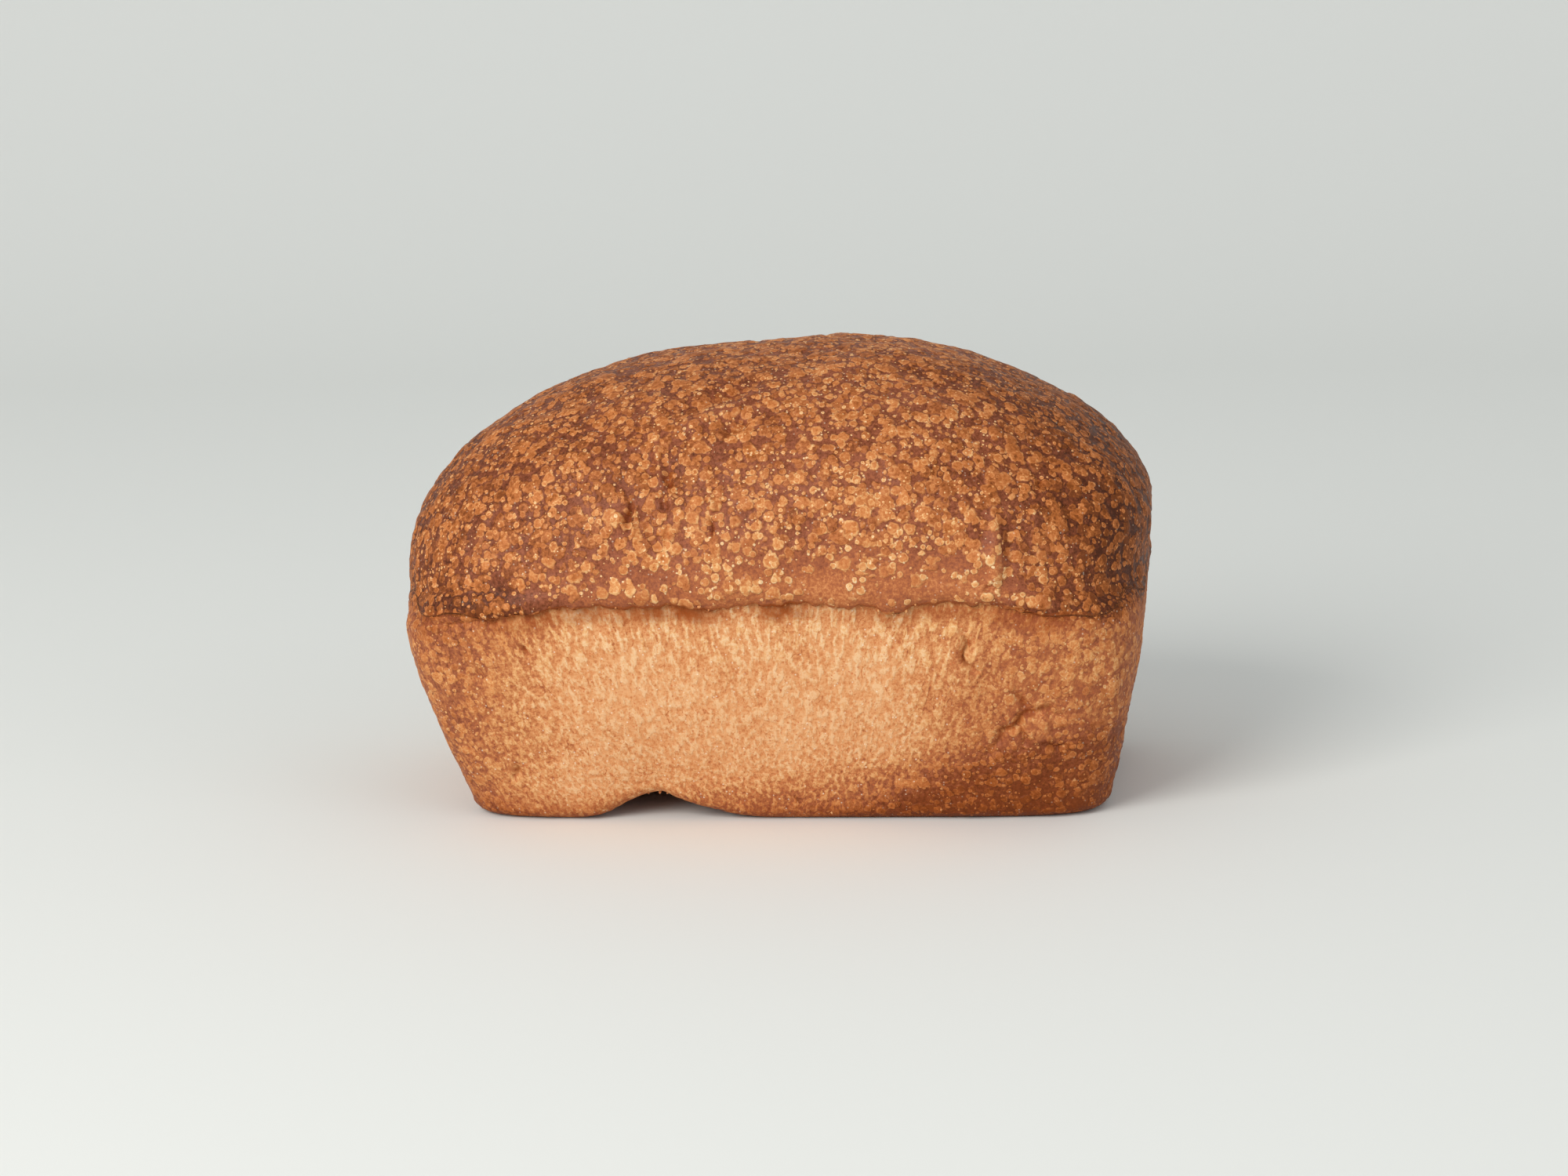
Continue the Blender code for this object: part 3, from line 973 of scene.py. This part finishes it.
    def shape(self, mesh: bpy.types.Mesh) -> tuple:
        """Work out where the block's vertices go on the loaf, before its folds and its fine relief.

        Args:
            mesh: The cut block.

        Returns:
            The places, and the station of each vertex.
        """
        block = np.empty(len(mesh.vertices) * 3, np.float32)
        mesh.vertices.foreach_get("co", block)
        places, station = self.form.surface(block.reshape(-1, 3).astype(float))
        self.lower_crease(places)
        lift = np.clip(places[:, 2] / self.form.height - self.form.lip_height_share, 0.0, 1.0)
        places[:, 2] += self.form.crown_tilt * places[:, 0] * lift / (1.0 - self.form.lip_height_share)
        self.settle(places)
        self.raise_arch(places)
        middle = 0.5 * (places.min(axis=0) + places.max(axis=0))
        places[:, :2] -= middle[:2]
        return places, station

    def lower_crease(self, places: np.ndarray) -> None:
        """Let the crease and the lip hang lower towards the corners, as they do where the dough held back."""
        x, y, z = places.T
        rim = self.form.height * self.form.rim_height_share
        away = np.abs(x)
        drop = self.ripple.at(x) * (1.0 - self.ripple_end.at(away))
        drop = drop + self.end_ripple.at(y) * self.end_ripple_start.at(away)
        drop = drop + sum(part.at(away) for part in self.crease_drops)
        drop = drop + sum(hang.at(x) for hang in self.lip_hangs) * self.front_side.at(-y)
        below = np.clip(z / rim, 0.0, 1.0)
        over = np.clip((self.form.height - z) / (self.form.height - rim), 0.0, 1.0)
        low_power, high_power = self.drop_powers
        places[:, 2] = z - drop * np.where(z < rim, below**low_power, over**high_power)

    def settle(self, places: np.ndarray) -> None:
        """Let the dome sit: fuller high up on the right, tucked in at the lip, lower at its shoulder."""
        x, z = places[:, 0], places[:, 2]
        lift = np.clip(z / self.form.height - self.form.lip_height_share, 0.0, 1.0)
        sunk = sum(sink.at(x) for sink in self.sinks)
        drawn = (self.right_full.at(z) - self.right_tuck.at(z)) * self.to_end.at(x)
        drawn = drawn + self.left_tuck.at(z) * self.to_end.at(-x)
        places[:, 0] = x + drawn
        places[:, 2] = z - sunk * lift

    def fold(self, mesh: bpy.types.Mesh, places: np.ndarray) -> np.ndarray:
        """Push the folds, tears, dents and big blisters of the front in or out, along the skin's normals.

        Args:
            mesh: The skin's mesh, at its places.
            places: The vertices' places.

        Returns:
            How far each vertex was pushed out.
        """
        normals = np.empty(len(mesh.vertices) * 3, np.float32)
        mesh.vertices.foreach_get("normal", normals)
        x, y, z = places.T
        push = np.zeros(len(x))
        for stroke in (*FOLDS, *WALL_DENTS):
            push += stroke.push(x, z)
        for across, up in BIG_BLISTERS:
            path = ((across, up), (across, up + BIG_BLISTER_LENGTH))
            push += Stroke(path, BIG_BLISTER_WIDTH, BIG_BLISTER_RISE).push(x, z)
        push *= y < 0.0
        moved = places + normals.reshape(-1, 3) * push[:, None]
        mesh.vertices.foreach_set("co", moved.astype(np.float32).ravel())
        mesh.update()
        return push

    def raise_arch(self, places: np.ndarray) -> None:
        """Hollow the front edge of the base where the dough did not fill the tin's corner."""
        x, y, z = places.T
        front = -self.form.half_width * self.form.base_width_share
        leftward = np.clip((self.arch_centre - x) / self.arch_left, 0.0, 1.0)
        rightward = np.clip((x - self.arch_centre) / self.arch_right, 0.0, 1.0)
        arc = (0.5 + 0.5 * np.cos(np.pi * leftward)) * (1.0 - rightward) ** self.arch_sharpness
        inward = np.clip((y - front) / self.arch_depth, 0.0, 1.0)
        fade = np.clip(1.0 - z / (self.arch_fade * self.arch_height), 0.0, 1.0)
        places[:, 2] = z + self.arch_height * arc * np.cos(0.5 * np.pi * inward) * fade

    def add_relief(self, skin: bpy.types.Object) -> None:
        """Raise the waves, blisters and streaks with a node modifier, and apply it."""
        tree = bpy.data.node_groups.new("crust_relief", "GeometryNodeTree")
        tree.interface.new_socket("Geometry", in_out="INPUT", socket_type="NodeSocketGeometry")
        tree.interface.new_socket("Geometry", in_out="OUTPUT", socket_type="NodeSocketGeometry")
        weave = Weave(tree)
        start = weave.add("NodeGroupInput")
        finish = weave.add("NodeGroupOutput")
        place = self.read(weave, Mark.PLACE)
        dome = self.read(weave, Mark.DOME)
        dome_place = self.shrink(weave, place, dome)
        blisters = BlisterPattern().build(weave, dome_place, self.read(weave, Mark.BLISTER))
        streaks = StreakPattern().build(weave, place)
        height = weave.split(place)[2]
        relief = self.relief
        wave = self.swell(weave, place, relief.wave, relief.wave_size, (2.0, 0.5, 0.2))
        bumps = self.swell(weave, place, relief.bump, relief.bump_size, (3.0, 0.55, 0.9))
        dimples = self.swell(weave, place, relief.dimple, relief.dimple_size, (2.0, 0.5, 3.4))
        on_dome = weave.math("ADD", weave.math("ADD", wave, bumps), dimples)
        on_dome = weave.scale_add(blisters["lift"], relief.blister, on_dome)
        near_base = weave.step(height, 10.0 * MM, 3.0 * MM, 0.12, 1.0)
        on_wall = weave.scale_add(bumps, relief.wall_share, weave.math("MULTIPLY", dimples, near_base))
        on_wall = weave.scale_add(streaks["cell"], relief.cell, on_wall)
        push = weave.lerp(dome, on_wall, on_dome)
        push = weave.math("MULTIPLY", push, weave.step(height, 0.3 * MM, 3.0 * MM))
        normal = weave.add("GeometryNodeInputNormal")
        offset = weave.vector("SCALE", normal.outputs[0], push)
        mover = weave.add("GeometryNodeSetPosition")
        weave.feed(mover.inputs["Geometry"], start.outputs[0])
        weave.feed(mover.inputs["Offset"], offset)
        weave.feed(finish.inputs[0], mover.outputs[0])
        raised = skin.modifiers.new("relief", "NODES")
        raised.node_group = tree
        bpy.ops.object.modifier_apply(modifier=raised.name)

    @staticmethod
    def swell(weave: Weave, place: object, height: float, size: float, kind: tuple) -> Socket:
        """Rise and fall evenly about 0.

        Args:
            weave: The tree to build in.
            place: Where on the crust, in metres.
            height: How far it is from the lowest to the highest, in metres.
            size: About how wide its features are, in metres.
            kind: The detail, roughness and shift of its noise.

        Returns:
            How far out it stands.
        """
        noise = weave.noise(place, size, *kind).outputs[0]
        return weave.scale_add(noise, height, -0.5 * height)

    @staticmethod
    def read(weave: Weave, mark: Mark) -> Socket:
        """Read a painted value in a geometry tree."""
        kind = "FLOAT_VECTOR" if mark is Mark.PLACE else "FLOAT"
        node = weave.add("GeometryNodeInputNamedAttribute", data_type=kind)
        node.inputs["Name"].default_value = mark.value
        return node.outputs[0]

    @staticmethod
    def shrink(weave: Weave, place: object, dome: object) -> Socket:
        """Make the blisters' pattern finer off the dome."""
        return weave.vector("SCALE", place, weave.step(dome, 0.90, 1.0, WALL_FINENESS, 1.0))

    def material(self) -> bpy.types.Material:
        """Browned crust: blistered on the dome, streaked on the walls.

        Returns:
            The crust's material.
        """
        crust = bpy.data.materials.new("crust")
        crust.use_nodes = True
        tree = crust.node_tree
        weave = Weave(tree)
        shader = tree.nodes["Principled BSDF"]

        def painted(mark: Mark) -> Socket:
            """Read a painted value in the shader."""
            node = weave.add("ShaderNodeAttribute", attribute_name=mark.value)
            return node.outputs["Vector"] if mark is Mark.PLACE else node.outputs["Fac"]

        finish = self.finish
        place = painted(Mark.PLACE)
        dome = painted(Mark.DOME)
        bake = painted(Mark.BAKE)
        blisters = BlisterPattern().build(weave, self.shrink(weave, place, dome), painted(Mark.BLISTER))
        streaks = StreakPattern().build(weave, place)
        cloud = self.swell(weave, place, finish.cloud, finish.cloud_size, (4.0, 0.6, 0.4))
        mottle = weave.noise(place, finish.mottle_size, 4.0, 0.6, 1.1).outputs[0]
        drift = weave.math("ADD", cloud, weave.scale_add(mottle, finish.mottle, -0.5 * finish.mottle))
        level = weave.clamp(weave.math("ADD", bake, drift))
        patchy = weave.scale_add(mottle, finish.patchiness, -0.5 * finish.patchiness)
        patchy = weave.step(weave.math("ADD", dome, patchy), 0.25, 0.80)
        domed = weave.math("MAXIMUM", patchy, weave.step(dome, 0.93, 1.0))
        fine = weave.noise(place, finish.fine_size, 3.0, 0.72, 4.2).outputs[0]
        on_side = weave.math("MULTIPLY", blisters["cover"], weave.step(dome, 0.05, 0.6))
        cells = weave.math("MAXIMUM", streaks["cell"], on_side)
        height = weave.split(place)[2]
        upward = weave.step(height, 40.0 * MM, 66.0 * MM, finish.cells_low, finish.cells_high)
        strength = weave.scale_add(bake, finish.cells_by_bake, upward)
        raised = weave.math("MULTIPLY", cells, weave.math("MINIMUM", strength, finish.cells_most))
        raised = weave.lerp(domed, raised, blisters["cover"])
        streaky = weave.scale_add(streaks["grain"], -finish.grain, 0.5 * finish.grain)
        streaky = weave.scale_add(streaks["line"], finish.line, streaky)
        paler = weave.lerp(domed, streaky, weave.scale_add(blisters["pale"], -finish.pale, 0.5 * finish.pale))
        speckle = weave.lerp(domed, finish.wall_speckle, finish.dome_speckle)
        mottled = weave.scale_add(weave.scale_add(fine, -1.0, 0.5), speckle, level)
        raised_level = weave.clamp(weave.math("ADD", mottled, paler))
        gap_level = weave.clamp(weave.math("ADD", mottled, weave.lerp(domed, streaky, 0.0)))
        gap_colour = weave.ramp(gap_level, self.tones.between)
        colour = weave.blend(raised, gap_colour, weave.ramp(raised_level, self.tones.raised))
        flecks = weave.math("MULTIPLY", streaks["fleck"], weave.step(domed, 1.0, 0.2, 0.0, finish.fleck))
        colour = weave.blend(flecks, colour, self.tones.fleck)
        glint = weave.lerp(domed, finish.wall_glint, finish.dome_glint)
        glints = weave.math("MULTIPLY", streaks["glint"], glint)
        colour = weave.blend(glints, colour, self.tones.glint)
        # Painted shade under the lip, in the grooves and at the lower right, with the darker crust round the
        # base, blended in as one dark tone.
        shaded_and_stained = weave.math("MULTIPLY", painted(Mark.CREASE), weave.step(mottle, 0.25, 0.60, 0.45, 0.95))
        colour = weave.blend(shaded_and_stained, colour, self.tones.shade_and_stain)
        weave.feed(shader.inputs["Base Color"], colour)
        dome_roughness = weave.lerp(blisters["cover"], finish.gap_roughness, finish.blister_roughness)
        weave.feed(shader.inputs["Roughness"], weave.lerp(domed, finish.wall_roughness, dome_roughness))
        shader.inputs["Specular IOR Level"].default_value = finish.specular
        dome_height = weave.math("MULTIPLY", fine, finish.dome_grit)
        dome_height = weave.scale_add(blisters["lift"], finish.blister_height, dome_height)
        wall_height = weave.math("MULTIPLY", fine, finish.wall_grit)
        wall_height = weave.scale_add(streaks["cell"], finish.cell_height, wall_height)
        wall_height = weave.scale_add(streaks["grain"], finish.grain_height, wall_height)
        bump = weave.add("ShaderNodeBump")
        bump.inputs["Strength"].default_value = 1.0
        bump.inputs["Distance"].default_value = 1.0
        weave.feed(bump.inputs["Height"], weave.lerp(domed, wall_height, dome_height))
        weave.feed(shader.inputs["Normal"], bump.outputs[0])
        return crust

    def build(self) -> bpy.types.Object:
        """Make the skin.

        Returns:
            The finished piece.
        """
        skin = self.cut_block()
        mesh = skin.data
        self.refine(skin)
        places, station = self.shape(mesh)
        mesh.vertices.foreach_set("co", places.astype(np.float32).ravel())
        mesh.update()
        for layer in list(mesh.uv_layers):
            mesh.uv_layers.remove(layer)
        push = self.fold(mesh, places)
        store_marks(mesh, places, BakeMap(self.form).marks(places, station, push))
        mesh.shade_smooth()
        self.add_relief(skin)
        mesh.materials.clear()
        skin.data.materials.append(self.material())
        return skin


@dataclass
class Crumbs:
    """Loose crumbs and torn bits that cling to the lip and to the edge of the hollow under the front.

    Each spot is how far along the loaf it is, its height and its size, in millimetres.
    """

    skin: bpy.types.Object
    form: LoafForm
    spots: tuple = (
        (-17, 71, 1.2), (-15, 70, 0.8), (-13, 72, 0.7), (-43, 71, 0.8), (-58, 70, 0.7), (-70, 68, 0.9),
        (8, 71, 0.8), (27, 71, 0.9), (31, 70, 0.8), (36, 69, 1.2), (40, 68, 1.0), (44, 69, 1.2),
        (47, 71, 0.8), (67, 73, 1.2), (71, 72, 0.8), (-35, 8, 1.4), (-33, 7, 0.9), (-38, 7, 0.7),
        (18, 3, 0.8), (52, 3, 0.7), (-80, 4, 0.8),
    )
    bake: float = 0.24
    shape: tuple = (1.0, 0.6, 0.8)
    stand_out: float = 0.15
    turns: tuple = (1.7, 2.4, 0.9)
    front_share: float = 0.68
    grit: float = 0.10 * MM
    name: str = "crust_crumbs"

    def build(self) -> bpy.types.Object:
        """Make the crumbs, each sunk a little into the skin.

        Returns:
            The finished piece.
        """
        count = len(self.skin.data.vertices)
        places = np.empty(count * 3, np.float32)
        normals = np.empty(count * 3, np.float32)
        self.skin.data.vertices.foreach_get("co", places)
        self.skin.data.vertices.foreach_get("normal", normals)
        places, normals = places.reshape(-1, 3), normals.reshape(-1, 3)
        front = np.flatnonzero(places[:, 1] < -self.front_share * self.form.half_width)
        bits = bmesh.new()
        for index, (across, up, size) in enumerate(self.spots):
            away = np.hypot(places[front, 0] - across * MM, places[front, 2] - up * MM)
            nearest = front[int(np.argmin(away))]
            turn = Euler([index * part for part in self.turns]).to_matrix().to_4x4()
            shape = Matrix.Diagonal((*(size * MM * part for part in self.shape), 1.0))
            spot = Vector(places[nearest]) + Vector(normals[nearest]) * (self.stand_out * size * MM)
            frame_of_bit = Matrix.Translation(spot) @ turn @ shape
            bmesh.ops.create_icosphere(bits, subdivisions=2, radius=0.5, matrix=frame_of_bit)
        mesh = bpy.data.meshes.new(self.name)
        bits.to_mesh(mesh)
        bits.free()
        points = np.empty(len(mesh.vertices) * 3, np.float32)
        mesh.vertices.foreach_get("co", points)
        points = points.reshape(-1, 3)
        rough = np.sin(points[:, 0] / (0.17 * MM)) * np.sin(points[:, 2] / (0.13 * MM) + 1.0)
        points[:, 2] += self.grit * rough
        mesh.vertices.foreach_set("co", points.ravel())
        mesh.update()
        zeros = np.zeros(len(points))
        store_marks(mesh, points, {Mark.DOME: zeros, Mark.BAKE: zeros + self.bake, Mark.CREASE: zeros})
        mesh.shade_smooth()
        mesh.materials.append(self.skin.data.materials[0])
        crumbs = bpy.data.objects.new(self.name, mesh)
        bpy.context.scene.collection.objects.link(crumbs)
        return crumbs


# ---------------------------------------------------------------- studio


@dataclass(frozen=True)
class Studio:
    """A plain pale floor that sweeps up into a wall, soft light from the front left, and the camera."""

    azimuth: float = math.radians(6.65)
    elevation: float = math.radians(12.1)
    roll: float = math.radians(-1.9)
    distance: float = 1.3
    lens: float = 94.8
    aim: tuple = (0.0, 0.0, 0.0616)

    def add_floor(self) -> bpy.types.Object:
        """Add the floor and the wall behind it, with a rounded corner between them."""
        bpy.ops.object.select_all(action="DESELECT")
        bpy.ops.mesh.primitive_plane_add(size=1.0)
        floor = bpy.context.object
        floor.name = "studio_floor"
        floor.scale = (8.0, 3.4, 1.0)
        bpy.ops.object.transform_apply(location=True, rotation=True, scale=True)
        bpy.ops.object.mode_set(mode="EDIT")
        bpy.ops.mesh.select_all(action="DESELECT")
        bpy.ops.object.mode_set(mode="OBJECT")
        for edge in floor.data.edges:
            edge.select = all(floor.data.vertices[index].co.y > 1.0 for index in edge.vertices)
        bpy.ops.object.mode_set(mode="EDIT")
        bpy.ops.mesh.select_mode(type="EDGE")
        bpy.ops.mesh.extrude_region_move(TRANSFORM_OT_translate={"value": (0.0, 0.0, 3.0)})
        bpy.ops.object.mode_set(mode="OBJECT")
        sweep = floor.modifiers.new("sweep", "BEVEL")
        sweep.width = 0.9
        sweep.segments = 24
        sweep.limit_method = "ANGLE"
        bpy.ops.object.modifier_apply(modifier=sweep.name)
        floor.data.shade_smooth()
        paper = bpy.data.materials.new("studio_paper")
        paper.use_nodes = True
        shader = paper.node_tree.nodes["Principled BSDF"]
        shader.inputs["Base Color"].default_value = tone(232, 233, 228)
        shader.inputs["Roughness"].default_value = 0.9
        floor.data.materials.append(paper)
        return floor

    def add_light(self, name: str, place: tuple, size: float, power: float, colour: tuple) -> None:
        """Add a square soft light that faces the loaf.

        Args:
            name: The light's name.
            place: Where it stands.
            size: Its side.
            power: Its power in watts.
            colour: Its colour.
        """
        data = bpy.data.lights.new(name, "AREA")
        data.size = size
        data.energy = power
        data.color = colour
        light = bpy.data.objects.new(name, data)
        bpy.context.scene.collection.objects.link(light)
        light.location = place
        light.rotation_euler = (Vector((0.0, 0.0, 0.07)) - Vector(place)).to_track_quat("-Z", "Y").to_euler()

    def add_lights(self) -> None:
        """Add the soft key from the front left, a weak fill, and the pale surroundings."""
        self.add_light("key", (-1.0, -1.6, 1.15), 1.2, 34.0, (1.0, 0.985, 0.96))
        self.add_light("fill", (1.6, -1.2, 0.7), 1.4, 6.0, (0.95, 0.98, 1.0))
        world = bpy.data.worlds.new("studio")
        bpy.context.scene.world = world
        world.use_nodes = True
        back = world.node_tree.nodes["Background"]
        back.inputs["Color"].default_value = (0.93, 0.96, 1.0, 1.0)
        back.inputs["Strength"].default_value = 0.55

    def add_camera(self) -> None:
        """Add the camera at its angle above and to the right of the loaf's front."""
        data = bpy.data.cameras.new("camera")
        data.lens = self.lens
        data.sensor_width = 36.0
        data.clip_end = 20.0
        camera = bpy.data.objects.new("camera", data)
        bpy.context.scene.collection.objects.link(camera)
        flat = math.cos(self.elevation)
        across, along = math.sin(self.azimuth) * flat, -math.cos(self.azimuth) * flat
        back = Vector((across, along, math.sin(self.elevation)))
        camera.location = Vector(self.aim) + back * self.distance
        look = (-back).to_track_quat("-Z", "Y")
        camera.rotation_euler = (look @ Euler((0.0, 0.0, self.roll)).to_quaternion()).to_euler()
        bpy.context.scene.camera = camera

    def build(self) -> None:
        """Make the studio."""
        self.add_camera()
        self.add_floor()
        self.add_lights()
        bpy.context.scene.view_settings.view_transform = "Standard"


def main() -> None:
    """Build the studio and the loaf, and report each piece."""
    logging.basicConfig(level=logging.INFO, format="%(message)s")
    Studio().build()
    low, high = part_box("loaf")
    form = LoafForm(0.5 * (high.x - low.x), 0.5 * (high.y - low.y), high.z)
    skin = LoafSkin(form).build()
    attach(skin, "root")
    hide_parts("loaf")
    crumbs = Crumbs(skin, form).build()
    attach(crumbs, "root")
    for piece in (skin, crumbs):
        LOG.info("%s: %d faces", piece.name, len(piece.data.polygons))


if __name__ == "__main__":
    main()
